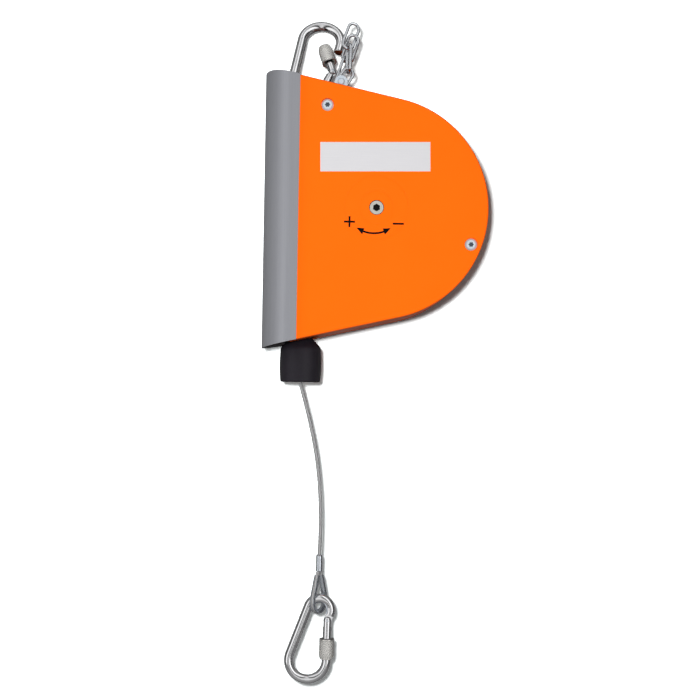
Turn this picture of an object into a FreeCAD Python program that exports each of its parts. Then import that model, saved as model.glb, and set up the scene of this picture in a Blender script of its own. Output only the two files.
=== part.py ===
import FreeCAD, Part
import math
import os
import Sketcher

# A spring balancer for hand tools. A D-shaped housing of two covers and an edge profile hangs from a
# snap hook. Inside, a flat spiral spring turns a rope drum. The rope leaves at the bottom through a
# guide, carries a rubber stop buffer and ends in a thimble with a second snap hook.
#
# Housing coordinates: the drum axis runs front to back through (0, 0, 0), x to the right, y to the
# back, z up, and the covers meet at y = 0. Every piece is then placed in the frame of the part, whose
# origin is the point where the upper hook bears on whatever holds it.

V = FreeCAD.Vector
doc = FreeCAD.newDocument("ToolBalancer")

SIZES = {
    # covers
    "rim_radius": 84.0,
    "taper": 12.8,
    "half_depth": 38.0,
    "wall": 2.5,
    "edge_round": 1.6,
    "cover_reach": 64.0,
    "hub_boss_radius": 13.0,
    "hub_boss_depth": 30.5,
    "ring_outer": 24.2,
    "ring_inner": 12.9,
    "ring_width": 0.8,
    "ring_depth": 0.3,
    "slot_half_width": 14.5,
    "slot_right": 31.0,
    "slot_clearance": 1.0,
    "rope_opening": 14.0,
    # edge profile
    "profile_lap": 5.5,
    "profile_wall": 1.6,
    "profile_gap": 0.1,
    "profile_flat": 6.0,
    "profile_bulge": 22.2,
    # cover screws
    "post_radius": 6.5,
    "screw_radius": 2.5,
    "screw_clearance": 0.2,
    "screw_head_radius": 4.5,
    "screw_head_height": 2.6,
    "screw_recess": 0.6,
    "recess_gap": 0.4,
    "thread_depth": 12.0,
    "screw_head_edge": 0.6,
    "screw_head_crown": 0.72,
    "torx_radius": 2.1,
    "torx_waist": 0.72,
    "torx_depth": 1.6,
    "upper_screw_left": 37.9,
    "upper_screw_inset": 7.2,
    "right_screw_inset": 12.9,
    "right_screw_down": 26.6,
    # rope, drum and spring
    "rope_radius": 1.5,
    "rope_line": 56.4,
    "rope_pitch": 3.15,
    "rope_turns": 6,
    "rope_lead_angle": 330.0,
    "drum_half_width": 20.0,
    "flange_radius": 62.0,
    "flange_thickness": 2.5,
    "barrel_inner": 51.0,
    "lid_gap": 0.05,
    "drum_bush_radius": 10.0,
    "drum_bush_length": 3.0,
    "running_gap": 0.05,
    "spring_half_width": 15.5,
    "spring_thickness": 1.0,
    "spring_turns": 9,
    "spring_core_radius": 12.0,
    "spring_gap": 0.5,
    # tension shaft and its lock
    "shaft_radius": 8.0,
    "shaft_half_length": 21.0,
    "journal_radius": 5.1,
    "shaft_recess": 0.5,
    "shaft_back": 34.5,
    "hex_across_flats": 5.0,
    "hex_depth": 7.0,
    "cover_bush_length": 5.0,
    "face_gap": 0.5,
    "ratchet_radius": 17.0,
    "ratchet_tooth": 2.5,
    "ratchet_teeth": 12,
    "ratchet_slope": 0.8,
    "ratchet_front": 28.5,
    "ratchet_thickness": 4.0,
    "pawl_left": 9.0,
    "pawl_up": 26.0,
    "pawl_thickness": 3.4,
    "pawl_boss_radius": 4.2,
    "pawl_arm": 2.9,
    "pawl_tip_height": 2.4,
    "pawl_tip_back": 2.9,
    "pawl_tip_rise": 0.8,
    "pawl_pin_radius": 2.0,
    "pawl_gap": 0.3,
    # suspension
    "bolt_rise": 9.5,
    "bolt_radius": 3.0,
    "bolt_half_length": 33.0,
    "bolt_boss_radius": 5.0,
    "roller_radius": 5.0,
    "roller_half_length": 13.7,
    "boss_gap": 0.3,
    # upper hook, in its own plane from the gate hinge
    "hook_wire": 3.75,
    "hook_crown": 15.25,
    "hook_crown_up": 25.9,
    "hook_narrow": 12.0,
    "hook_narrow_left": 16.5,
    "hook_narrow_down": 21.8,
    "hook_nose_up": 19.1,
    "hook_nose_tip": 3.1,
    "hook_lean": 12.0,
    "hook_tilt": 22.0,
    "hook_seat_gap": 1.0,
    "hook_gate_open": 29.0,
    "gate_short": 0.5,
    "gate_radius": 3.3,
    "gate_slot": 1.5,
    "tongue_half": 1.2,
    "tongue_radius": 3.1,
    "wire_end_gap": 4.3,
    "tongue_waist": 0.8,
    "hinge_pin_radius": 1.0,
    "hinge_pin_reach": 0.85,
    "sleeve_radius": 5.85,
    "sleeve_mouth_radius": 4.7,
    "sleeve_length": 15.4,
    "sleeve_up": 9.0,
    "sleeve_taper": 6.0,
    "sleeve_bore": 3.4,
    "sleeve_hollow": 4.8,
    "sleeve_hollow_depth": 5.0,
    # lower hook, in its own plane from the gate hinge
    "tool_wire": 3.5,
    "tool_crown": 14.5,
    "tool_crown_up": 31.0,
    "tool_narrow": 8.9,
    "tool_narrow_left": 6.5,
    "tool_narrow_down": 7.9,
    "tool_nose_up": 27.6,
    "tool_nose_tip": 1.5,
    "tool_sleeve_up": 14.2,
    "tool_mouth_radius": 4.9,
    "tool_mouth_bore": 3.75,
    "tool_mouth_depth": 2.2,
    "tool_taper": 3.5,
    "tool_shift": 7.0,
    "tool_lean": 0.9,
    # guide and stop buffer
    "guide_half_width": 9.6,
    "guide_height": 12.0,
    "guide_drop": 8.5,
    "guide_bush_radius": 5.0,
    "guide_bore": 2.2,
    "guide_lip": 0.7,
    "buffer_height": 39.0,
    "buffer_radius": 15.6,
    "buffer_bulge": 16.2,
    "buffer_body": 27.0,
    "buffer_cone": 7.5,
    "buffer_neck_radius": 8.8,
    "buffer_chamfer": 1.0,
    "buffer_seat_gap": 0.1,
    "stop_sleeve_radius": 4.5,
    # rope end
    "ferrule_radius": 2.5,
    "ferrule_length": 12.6,
    "ferrule_chamfer": 0.4,
    "ferrule_drop": 133.0,
    "rope_end_shift": 17.0,
    "thimble_inner": 6.2,
    "thimble_band": 0.8,
    "thimble_flange": 0.9,
    "eye_gap": 0.4,
    "thimble_below": 35.4,
    "thimble_turn": 57.0,
    "tool_seat_gap": 4.8,
    "groove_gap": 0.02,
    # safety chain
    "link_wire": 1.25,
    "link_width": 11.0,
    "link_length": 24.0,
    "lug_left": 28.2,
    "lug_rise": 16.0,
    "lug_radius": 5.6,
    "lug_foot_radius": 8.0,
    "lug_front": 9.0,
    "lug_thickness": 3.0,
    "lug_gap": 0.3,
    "chain_bush_radius": 2.3,
    "chain_bush_length": 3.2,
    "chain_screw_radius": 1.5,
    "chain_head_radius": 2.8,
    "chain_head_height": 1.9,
    "washer_radius": 4.9,
    "washer_thickness": 0.8,
    "nut_radius": 3.1,
    "nut_height": 2.4,
    # label and marks
    "label_width": 82.3,
    "label_height": 22.0,
    "label_thickness": 0.25,
    "label_left": 1.5,
    "label_up": 38.0,
    "label_turn": 0.9,
    "mark_thickness": 0.12,
    "mark_stroke": 1.4,
    "mark_length": 8.2,
    "plus_left": 20.1,
    "plus_down": 11.0,
    "minus_right": 16.4,
    "minus_down": 12.0,
    "arrow_left": 2.0,
    "arrow_radius": 22.5,
    "arrow_half_angle": 34.7,
    "arrow_head": 5.8,
    "arrow_head_half": 2.4,
    "arrow_neck": 0.8,
    "arrow_down": 19.4,
}

# Places that follow from other sizes, so that the pieces stay together when one of them changes.
FOLLOWING = {
    "straight_edge": "cover_reach - profile_lap",
    "upper_screw_up": "rim_radius - upper_screw_inset",
    "right_screw_right": "rim_radius - right_screw_inset",
    "bolt_up": "rim_radius + bolt_rise",
    "lug_up": "rim_radius + lug_rise",
    "guide_bottom": "rim_radius + guide_drop",
    "buffer_bottom": "guide_bottom + buffer_height",
    "ferrule_top": "buffer_bottom + ferrule_drop",
    "thimble_drop": "ferrule_top + thimble_below",
    "rope_end_left": "rope_line - rope_end_shift",
    "tool_left": "rope_end_left - tool_shift",
}

sheet = doc.addObject("Spreadsheet::Sheet", "dim")
following = {alias: f"={formula}" for alias, formula in FOLLOWING.items()}
for row, (alias, content) in enumerate({**SIZES, **following}.items(), 1):
    sheet.set(f"A{row}", alias)
    sheet.set(f"B{row}", str(content))
    sheet.setAlias(f"B{row}", alias)
doc.recompute()


def value(expression):
    """The number that an expression on the sheets gives."""
    return float(sheet.evalExpression(expression))


# ---------------------------------------------------------------- where things lie

TO_BACK = FreeCAD.Rotation(V(1, 0, 0), -90)
TO_FRONT = FreeCAD.Rotation(V(1, 0, 0), 90)
UPSIDE_DOWN = FreeCAD.Rotation(V(1, 0, 0), 180)
LEFT_AND_UP = FreeCAD.Rotation(V(-1, 0, 0), V(0, 0, 1), V(0, 1, 0), "XYZ")


def hook_pin():
    """The suspension roller's centre in the upper hook's own plane, seated in its narrow end."""
    seat = value("dim.hook_narrow - dim.hook_wire - dim.roller_radius - dim.hook_seat_gap")
    return V(-value("dim.hook_narrow_left"), 0, -value("dim.hook_narrow_down") - seat)


def hook_rotation():
    """The upper hook leans to the right and lies back."""
    tilt = FreeCAD.Rotation(V(1, 0, 0), -value("dim.hook_tilt"))
    return tilt.multiply(FreeCAD.Rotation(V(0, 1, 0), value("dim.hook_lean")))


def suspension_point():
    """The highest point inside the upper hook's crown, in the hook's own plane."""
    reach = value("dim.hook_crown - dim.hook_wire")
    lean = math.radians(value("dim.hook_lean"))
    crown = V(-value("dim.hook_crown"), 0, value("dim.hook_crown_up"))
    return crown + V(-math.sin(lean), 0, math.cos(lean)) * reach


PIN_IN_FRAME = hook_rotation().multVec(hook_pin() - suspension_point())
AXIS = PIN_IN_FRAME + V(value("dim.rope_line"), 0, -value("dim.bolt_up"))

places = doc.addObject("Spreadsheet::Sheet", "place")
for row, (alias, number) in enumerate(zip(("axis_x", "axis_y", "axis_z"), AXIS), 1):
    places.set(f"A{row}", alias)
    places.set(f"B{row}", str(number))
    places.setAlias(f"B{row}", alias)
doc.recompute()

pieces = []


def local(thing, x="0", y="0", z="0", turn=None):
    """Place a tool or base shape in housing coordinates, or in a piece's own coordinates."""
    if turn:
        thing.Placement = FreeCAD.Placement(V(), turn)
    for letter, expression in zip("xyz", (x, y, z)):
        thing.setExpression(f"Placement.Base.{letter}", expression)
    return thing


def piece(thing, label, x="0", y="0", z="0", turn=None):
    """Name a finished piece and place it in the frame by its housing coordinates."""
    thing.Label = label
    pieces.append(thing)
    return local(thing, f"place.axis_x + {x}", f"place.axis_y + {y}", f"place.axis_z + {z}", turn)


def piece_at(thing, label, placement):
    """Name a finished piece and give it a placement that is already in the frame."""
    thing.Label = label
    thing.Placement = placement
    pieces.append(thing)
    return thing


# ---------------------------------------------------------------- building blocks


def primitive(kind, name, **sizes):
    """A Part primitive with its sizes bound to the sheets."""
    thing = doc.addObject(f"Part::{kind}", name)
    for size, expression in sizes.items():
        thing.setExpression(size, expression)
    return thing


def cylinder(name, radius, height):
    return primitive("Cylinder", name, Radius=radius, Height=height)


def box(name, length, width, height):
    return primitive("Box", name, Length=length, Width=width, Height=height)


def fuse(name, *things):
    thing = doc.addObject("Part::MultiFuse", name)
    thing.Shapes = list(things)
    return thing


def cut(name, base, *tools):
    thing = doc.addObject("Part::Cut", name)
    thing.Base = base
    thing.Tool = tools[0] if len(tools) == 1 else fuse(f"{name}_tools", *tools)
    return thing


def group(name, *things):
    thing = doc.addObject("Part::Compound", name)
    thing.Links = list(things)
    return thing


def body(name):
    return doc.addObject("PartDesign::Body", name)


def sketch(owner, plane="XZ_Plane", offset=None):
    """A sketch on one of the body's own origin planes, moved along the plane's normal."""
    thing = owner.newObject("Sketcher::SketchObject", f"{owner.Name}_sketch")
    origin = next(f for f in owner.Origin.OriginFeatures if f.Role == plane)
    thing.AttachmentSupport = [(origin, "")]
    thing.MapMode = "FlatFace"
    if offset:
        thing.setExpression("AttachmentOffset.Base.z", offset)
    return thing


def hold(drawing, geometry, point, across, up):
    """Tie one point of a sketch to the origin by two expressions."""
    for name, expression, axis in (("DistanceX", across, -2), ("DistanceY", up, -1)):
        distance = value(expression)
        if abs(distance) < 1e-9:
            drawing.addConstraint(Sketcher.Constraint("PointOnObject", geometry, point, axis))
        else:
            rule = Sketcher.Constraint(name, -1, 1, geometry, point, distance)
            drawing.setExpression(f"Constraints[{drawing.addConstraint(rule)}]", expression)


def disc(drawing, across, up, radius):
    """A circle with its centre and radius bound to the sheets."""
    circle = Part.Circle(V(value(across), value(up), 0), V(0, 0, 1), value(radius))
    number = drawing.addGeometry(circle)
    hold(drawing, number, 3, across, up)
    rule = drawing.addConstraint(Sketcher.Constraint("Radius", number, value(radius)))
    drawing.setExpression(f"Constraints[{rule}]", radius)
    return drawing


def polygon(drawing, corners):
    """A closed polygon, each corner given by two expressions."""
    spots = [V(value(across), value(up), 0) for across, up in corners]
    count = len(corners)
    for i in range(count):
        drawing.addGeometry(Part.LineSegment(spots[i], spots[(i + 1) % count]))
    for i in range(count):
        drawing.addConstraint(Sketcher.Constraint("Coincident", i, 2, (i + 1) % count, 1))
    for i, (across, up) in enumerate(corners):
        hold(drawing, i, 1, across, up)
    return drawing


def drawn(drawing, shapes):
    """Lines and arcs worked out from the sheet, joined end to end."""
    for shape in shapes:
        drawing.addGeometry(shape)
    return drawing


def pad(owner, drawing, length, back=False, both=False):
    thing = owner.newObject("PartDesign::Pad", f"{owner.Name}_pad")
    thing.Profile = drawing
    thing.setExpression("Length", length)
    thing.Reversed = back
    thing.Midplane = both
    return thing


def pocket(owner, drawing, length=None, ahead=False, both=False):
    """Cut against the sketch's normal, or along it where ahead is true; no length cuts through all."""
    thing = owner.newObject("PartDesign::Pocket", f"{owner.Name}_pocket")
    thing.Profile = drawing
    thing.Reversed = ahead
    thing.Midplane = both
    if length:
        thing.setExpression("Length", length)
    else:
        thing.Type = 1
    return thing


def turned(name, corners):
    """A piece turned about its own z axis from a half section of (radius, height) corners."""
    owner = body(name)
    drawing = polygon(sketch(owner), corners)
    turn = owner.newObject("PartDesign::Revolution", f"{name}_turn")
    turn.Profile = drawing
    turn.ReferenceAxis = (drawing, ["V_Axis"])
    turn.Angle = 360
    return owner


# ---------------------------------------------------------------- covers


def cover_outline(drawing, inset, reach):
    """The D of a cover: a round end about the drum axis and two straight edges that part."""
    radius, left = value(f"dim.rim_radius - {inset}"), value(reach)
    taper = math.radians(value("dim.taper"))
    high = (radius + left * math.sin(taper)) / math.cos(taper)
    touch = V(radius * math.sin(taper), radius * math.cos(taper), 0)
    end = math.pi / 2 - taper
    circle = Part.Circle(V(), V(0, 0, 1), radius)
    drawing.addGeometry(Part.ArcOfCircle(circle, -end, end))
    drawing.addGeometry(Part.LineSegment(touch, V(-left, high, 0)))
    drawing.addGeometry(Part.LineSegment(V(-left, high, 0), V(-left, -high, 0)))
    drawing.addGeometry(Part.LineSegment(V(-left, -high, 0), V(touch.x, -touch.y, 0)))
    rules = [
        ("Coincident", 0, 3, -1, 1),
        ("Tangent", 0, 2, 1, 1),
        ("Coincident", 1, 2, 2, 1),
        ("Coincident", 2, 2, 3, 1),
        ("Tangent", 3, 2, 0, 1),
        ("Vertical", 2),
    ]
    for rule in rules:
        drawing.addConstraint(Sketcher.Constraint(*rule))
    bound = [
        (("Radius", 0, radius), f"dim.rim_radius - {inset}"),
        (("DistanceX", 2, 1, -1, 1, left), reach),
        (("Angle", 1, math.pi - taper), "180 - dim.taper"),
        (("Angle", 3, taper), "dim.taper"),
    ]
    for rule, expression in bound:
        number = drawing.addConstraint(Sketcher.Constraint(*rule))
        drawing.setExpression(f"Constraints[{number}]", expression)
    return drawing


class Cover:
    """One pan of the housing. Depths are measured from the joint outwards; side is 1 in front."""

    def __init__(self, name, side):
        self.body, self.side = body(name), side
        self.pad(cover_outline(self.sketch("0"), "0", "dim.cover_reach"), "dim.half_depth")
        self.round_rim()
        inside = cover_outline(self.sketch("0"), "dim.wall", "dim.cover_reach + 2 * dim.wall")
        self.cut(inside, "dim.half_depth - dim.wall")

    def sketch(self, depth):
        return sketch(self.body, offset=f"{self.side} * ({depth})")

    def pad(self, drawing, length):
        return pad(self.body, drawing, length, back=self.side < 0)

    def cut(self, drawing, length=None):
        """Cut outwards from the sketch."""
        return pocket(self.body, drawing, length, ahead=self.side > 0)

    def sink(self, drawing, length):
        """Cut inwards from the face."""
        return pocket(self.body, drawing, length, ahead=self.side < 0)

    def round_rim(self):
        doc.recompute()
        face, left = value("dim.half_depth"), -value("dim.cover_reach")
        edges = self.body.Shape.Edges
        rim = [
            f"Edge{number}"
            for number, edge in enumerate(edges, 1)
            if all(abs(v.Y + self.side * face) < 1e-6 for v in edge.Vertexes)
            and edge.CenterOfMass.x > left + 1
        ]
        solid = self.body.Tip
        rounding = self.body.newObject("PartDesign::Fillet", f"{self.body.Name}_rim")
        rounding.Base = (solid, rim)
        rounding.setExpression("Radius", "dim.edge_round")
        doc.recompute()

    def boss(self, across, up, radius, depth):
        """A round boss from the given depth into the face."""
        drawing = disc(self.sketch(depth), across, up, radius)
        self.pad(drawing, f"dim.half_depth - dim.wall / 2 - ({depth})")

    def hole(self, across, up, radius, start, length):
        self.cut(disc(self.sketch(start), across, up, radius), length)

    def openings(self):
        """The slot for the hook in the top edge and the round opening for the rope in the bottom."""
        drawing = sketch(self.body, "XY_Plane", "dim.bolt_up - dim.bolt_boss_radius - dim.slot_clearance")
        left, right = "-dim.cover_reach - dim.wall", "-dim.slot_right"
        low, high = "-dim.slot_half_width", "dim.slot_half_width"
        polygon(drawing, [(left, low), (right, low), (right, high), (left, high)])
        pocket(self.body, drawing, ahead=True)
        below = sketch(self.body, "XY_Plane", "-dim.rim_radius")
        pocket(self.body, disc(below, "-dim.rope_line", "0", "dim.rope_opening"))

    def rings(self):
        """Two fine rings round the hub, pressed into the face."""
        for radius in ("dim.ring_outer", "dim.ring_inner"):
            drawing = disc(self.sketch("dim.half_depth"), "0", "0", radius)
            disc(drawing, "0", "0", f"{radius} - dim.ring_width")
            self.sink(drawing, "dim.ring_depth")


UPPER_SCREW = ("-dim.upper_screw_left", "dim.upper_screw_up")
RIGHT_SCREW = ("dim.right_screw_right", "-dim.right_screw_down")
LUG_BACK = "dim.lug_front - dim.lug_thickness"
BOLT = ("-dim.rope_line", "dim.bolt_up")
PAWL = ("-dim.pawl_left", "dim.pawl_up")
BOLT_BOSS_DEPTH = "dim.roller_half_length + dim.boss_gap"


def common_bosses(cover):
    cover.boss(*BOLT, "dim.bolt_boss_radius", BOLT_BOSS_DEPTH)
    cover.hole(*BOLT, "dim.bolt_radius", BOLT_BOSS_DEPTH, f"dim.bolt_half_length - ({BOLT_BOSS_DEPTH})")
    cover.boss("0", "0", "dim.hub_boss_radius", "dim.hub_boss_depth")
    cover.hole("0", "0", "dim.shaft_radius", "dim.hub_boss_depth", "dim.cover_bush_length")


def front_cover():
    cover = Cover("front_cover_body", 1)
    screws = ((UPPER_SCREW, "dim.lug_front"), (RIGHT_SCREW, "0"))
    for spot, depth in screws:
        cover.boss(*spot, "dim.post_radius", depth)
    common_bosses(cover)
    cover.boss(*PAWL, "dim.pawl_boss_radius", "dim.ratchet_front")
    pin_hole = "dim.half_depth - dim.wall - dim.ratchet_front"
    cover.hole(*PAWL, "dim.pawl_pin_radius", "dim.ratchet_front", pin_hole)
    for spot, depth in screws:
        cover.hole(*spot, "dim.screw_radius + dim.screw_clearance", depth, f"dim.half_depth - {depth}")
        recess = disc(cover.sketch("dim.half_depth"), *spot, "dim.screw_head_radius + dim.recess_gap")
        cover.sink(recess, "dim.screw_recess + dim.screw_head_height")
    cover.hole("0", "0", "dim.journal_radius + dim.face_gap", "dim.hub_boss_depth", None)
    cover.openings()
    drawing = sketch(cover.body, "XY_Plane", "dim.bolt_up - dim.bolt_boss_radius - dim.slot_clearance")
    left, right = "-dim.slot_right - dim.wall", "-dim.lug_left + dim.lug_radius + dim.lug_gap"
    low, high = "-dim.lug_front - dim.chain_bush_length - dim.lug_gap", "dim.wall"
    polygon(drawing, [(left, low), (right, low), (right, high), (left, high)])
    pocket(cover.body, drawing, ahead=True)
    cover.rings()
    piece(cover.body, "front_cover")


def rear_cover():
    cover = Cover("rear_cover_body", -1)
    screws = ((UPPER_SCREW, f"-({LUG_BACK})"), (RIGHT_SCREW, "0"))
    for spot, depth in screws:
        cover.boss(*spot, "dim.post_radius", depth)
        cover.hole(*spot, "dim.screw_radius", depth, "dim.thread_depth")
    common_bosses(cover)
    cover.openings()
    cover.rings()
    piece(cover.body, "rear_cover")


def profile_section(half, wall_in):
    """One side of the edge profile's wall: flat, half an ellipse round the edge, flat."""
    start = -value("dim.straight_edge")
    flat, bulge = value("dim.profile_flat"), value("dim.profile_bulge") - wall_in
    centre = V(start - flat, 0, 0)
    upright = Part.Ellipse(centre + V(0, half, 0), centre + V(-bulge, 0, 0), centre)
    return (
        Part.LineSegment(V(start, -half, 0), V(start - flat, -half, 0)),
        Part.ArcOfEllipse(upright, 0, math.pi),
        Part.LineSegment(V(start - flat, half, 0), V(start, half, 0)),
    )


def edge_profile():
    """A drawn aluminium profile, cut off along the covers' straight edges."""
    owner = body("edge_profile_body")
    drawing = sketch(owner, "XY_Plane")
    inner = value("dim.half_depth + dim.profile_gap")
    outer = inner + value("dim.profile_wall")
    start = -value("dim.straight_edge")
    drawn(drawing, profile_section(outer, 0))
    drawn(drawing, profile_section(inner, value("dim.profile_wall")))
    for side in (1, -1):
        line = Part.LineSegment(V(start, side * inner, 0), V(start, side * outer, 0))
        drawing.addGeometry(line)
    pad(owner, drawing, "4 * dim.rim_radius", both=True)
    taper = math.radians(value("dim.taper"))
    radius = value("dim.rim_radius")
    beyond = 2 * radius
    for side in (1, -1):
        near, far = start + 1, start - radius
        heights = [(radius - x * math.sin(taper)) / math.cos(taper) for x in (near, far)]
        corners = [V(near, side * heights[0], 0), V(far, side * heights[1], 0)]
        corners += [V(far, side * beyond * 1.5, 0), V(near, side * beyond * 1.5, 0)]
        end = sketch(owner)
        drawn(end, [Part.LineSegment(corners[i], corners[(i + 1) % 4]) for i in range(4)])
        pocket(owner, end, "4 * dim.half_depth", both=True)
    piece(owner, "edge_profile")


def cover_screw(name, spot, depth):
    """A pan head screw with a six-lobe socket, its head sunk below the face."""
    head = "dim.screw_head_radius"
    length = f"dim.half_depth - dim.screw_recess - dim.screw_head_height - ({depth}) + dim.thread_depth"
    owner = turned(
        name,
        [
            ("0", "0"),
            ("dim.screw_radius", "0"),
            ("dim.screw_radius", length),
            (head, length),
            (head, f"{length} + dim.screw_head_edge * dim.screw_head_height"),
            (f"dim.screw_head_crown * {head}", f"{length} + dim.screw_head_height"),
            ("0", f"{length} + dim.screw_head_height"),
        ],
    )
    top = sketch(owner, "XY_Plane", f"{length} + dim.screw_head_height")
    lobes, radius, waist = 6, value("dim.torx_radius"), value("dim.torx_waist")
    corners = []
    for i in range(2 * lobes):
        reach = radius if i % 2 == 0 else waist * radius
        angle = math.pi * i / lobes
        corners.append(V(reach * math.cos(angle), reach * math.sin(angle), 0))
    count = len(corners)
    drawn(top, [Part.LineSegment(corners[i], corners[(i + 1) % count]) for i in range(count)])
    pocket(owner, top, "dim.torx_depth")
    y = f"-({depth}) + dim.thread_depth"
    return local(owner, spot[0], y, spot[1], TO_FRONT)


def cover_screws():
    upper = cover_screw("upper_cover_screw", UPPER_SCREW, LUG_BACK)
    right = cover_screw("right_cover_screw", RIGHT_SCREW, "0")
    piece(group("cover_screw_set", upper, right), "cover_screws")


# ---------------------------------------------------------------- suspension


def ring(name, inner, outer, length):
    return turned(name, [(inner, "0"), (outer, "0"), (outer, length), (inner, length)])


def suspension():
    bolt = cylinder("bolt", "dim.bolt_radius", "2 * dim.bolt_half_length")
    piece(bolt, "suspension_bolt", BOLT[0], "-dim.bolt_half_length", BOLT[1], TO_BACK)
    inner = "dim.bolt_radius + dim.running_gap"
    roller = ring("roller", inner, "dim.roller_radius", "2 * dim.roller_half_length")
    piece(roller, "suspension_roller", BOLT[0], "-dim.roller_half_length", BOLT[1], TO_BACK)


# ---------------------------------------------------------------- rope drum and spring


def rope_drum():
    barrel = "dim.rope_line - dim.rope_radius"
    wide, flange = "2 * dim.drum_half_width", "dim.flange_thickness"
    drum = turned(
        "drum",
        [
            ("dim.drum_bush_radius", f"{wide} - {flange}"),
            ("dim.drum_bush_radius", wide),
            ("dim.flange_radius", wide),
            ("dim.flange_radius", f"{wide} - {flange}"),
            (barrel, f"{wide} - {flange}"),
            (barrel, flange),
            ("dim.flange_radius", flange),
            ("dim.flange_radius", "0"),
            ("dim.barrel_inner", "0"),
            ("dim.barrel_inner", f"{wide} - {flange}"),
        ],
    )
    piece(drum, "rope_drum", y="-dim.drum_half_width", turn=TO_BACK)
    lid = ring("lid", "dim.drum_bush_radius", "dim.barrel_inner - dim.lid_gap", flange)
    piece(lid, "drum_lid", y="-dim.drum_half_width", turn=TO_BACK)
    bushes = []
    starts = {"front": "-dim.drum_half_width", "back": "dim.drum_half_width - dim.drum_bush_length"}
    for name, start in starts.items():
        inner = "dim.shaft_radius + dim.running_gap"
        bush = ring(f"{name}_drum_bush", inner, "dim.drum_bush_radius", "dim.drum_bush_length")
        bushes.append(local(bush, y=start, turn=TO_BACK))
    piece(group("drum_bush_set", *bushes), "drum_bushes")


def wound_rope():
    """The turns on the drum, side by side; the first leaves the drum at its left side."""
    turns = []
    for i in range(int(value("dim.rope_turns"))):
        turn = primitive("Torus", f"rope_turn_{i + 1}", Radius1="dim.rope_line", Radius2="dim.rope_radius")
        if i == 0:
            turn.setExpression("Angle3", "dim.rope_lead_angle")
        turns.append(local(turn, y=f"{i} * dim.rope_pitch", turn=LEFT_AND_UP))
    piece(group("rope_turns", *turns), "wound_rope")


def mainspring():
    """A flat spiral strip, each half turn an arc about one of two centres."""
    turns = int(value("dim.spring_turns"))
    inner = value("dim.spring_core_radius + dim.spring_gap + dim.spring_thickness / 2")
    outer = value("dim.barrel_inner - dim.spring_gap - dim.spring_thickness / 2")
    pitch = (outer - inner) / turns
    half = value("dim.spring_thickness") / 2
    width = value("dim.spring_half_width")

    def side(offset):
        edges = []
        for i in range(int(2 * turns)):
            centre = V(pitch / 2 * (i % 2), 0, 0)
            radius = inner + i * pitch / 2 + offset
            circle = Part.Circle(centre, V(0, 0, 1), radius)
            start = math.pi * (i % 2)
            edges.append(Part.ArcOfCircle(circle, start, start + math.pi).toShape())
        return edges

    low, high = side(-half), side(half)
    first = Part.makeLine(low[0].valueAt(low[0].FirstParameter), high[0].valueAt(high[0].FirstParameter))
    last = Part.makeLine(low[-1].valueAt(low[-1].LastParameter), high[-1].valueAt(high[-1].LastParameter))
    strip = Part.Wire(Part.__sortEdges__(low + [last] + high + [first]))
    thing = doc.addObject("Part::Feature", "spring_strip")
    thing.Shape = Part.Face(strip).extrude(V(0, 0, 2 * width))
    piece(thing, "mainspring", y="-dim.spring_half_width", turn=TO_BACK)


def tension_shaft():
    length = "dim.half_depth - dim.shaft_recess + dim.shaft_back"
    front = "dim.half_depth - dim.shaft_recess - dim.shaft_half_length"
    owner = turned(
        "shaft",
        [
            ("0", "0"),
            ("dim.journal_radius", "0"),
            ("dim.journal_radius", front),
            ("dim.shaft_radius", front),
            ("dim.shaft_radius", f"{front} + 2 * dim.shaft_half_length"),
            ("dim.journal_radius", f"{front} + 2 * dim.shaft_half_length"),
            ("dim.journal_radius", length),
            ("0", length),
        ],
    )
    socket = sketch(owner, "XY_Plane")
    corner = value("dim.hex_across_flats") / math.sqrt(3)
    spots = [V(corner * math.sin(a), corner * math.cos(a), 0) for a in (math.pi * i / 3 for i in range(6))]
    drawn(socket, [Part.LineSegment(spots[i], spots[(i + 1) % 6]) for i in range(6)])
    pocket(owner, socket, "dim.hex_depth", ahead=True)
    piece(owner, "tension_shaft", y="-dim.half_depth + dim.shaft_recess", turn=TO_BACK)
    core = ring("core", "dim.shaft_radius", "dim.spring_core_radius", "2 * dim.spring_half_width")
    piece(core, "spring_core", y="-dim.spring_half_width", turn=TO_BACK)
    bushes = []
    starts = {"front": "-dim.hub_boss_depth - dim.cover_bush_length", "back": "dim.hub_boss_depth"}
    for name, start in starts.items():
        inner = "dim.journal_radius + dim.running_gap"
        bush = ring(f"{name}_cover_bush", inner, "dim.shaft_radius", "dim.cover_bush_length")
        bushes.append(local(bush, y=start, turn=TO_BACK))
    piece(group("cover_bush_set", *bushes), "shaft_bushes")


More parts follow.
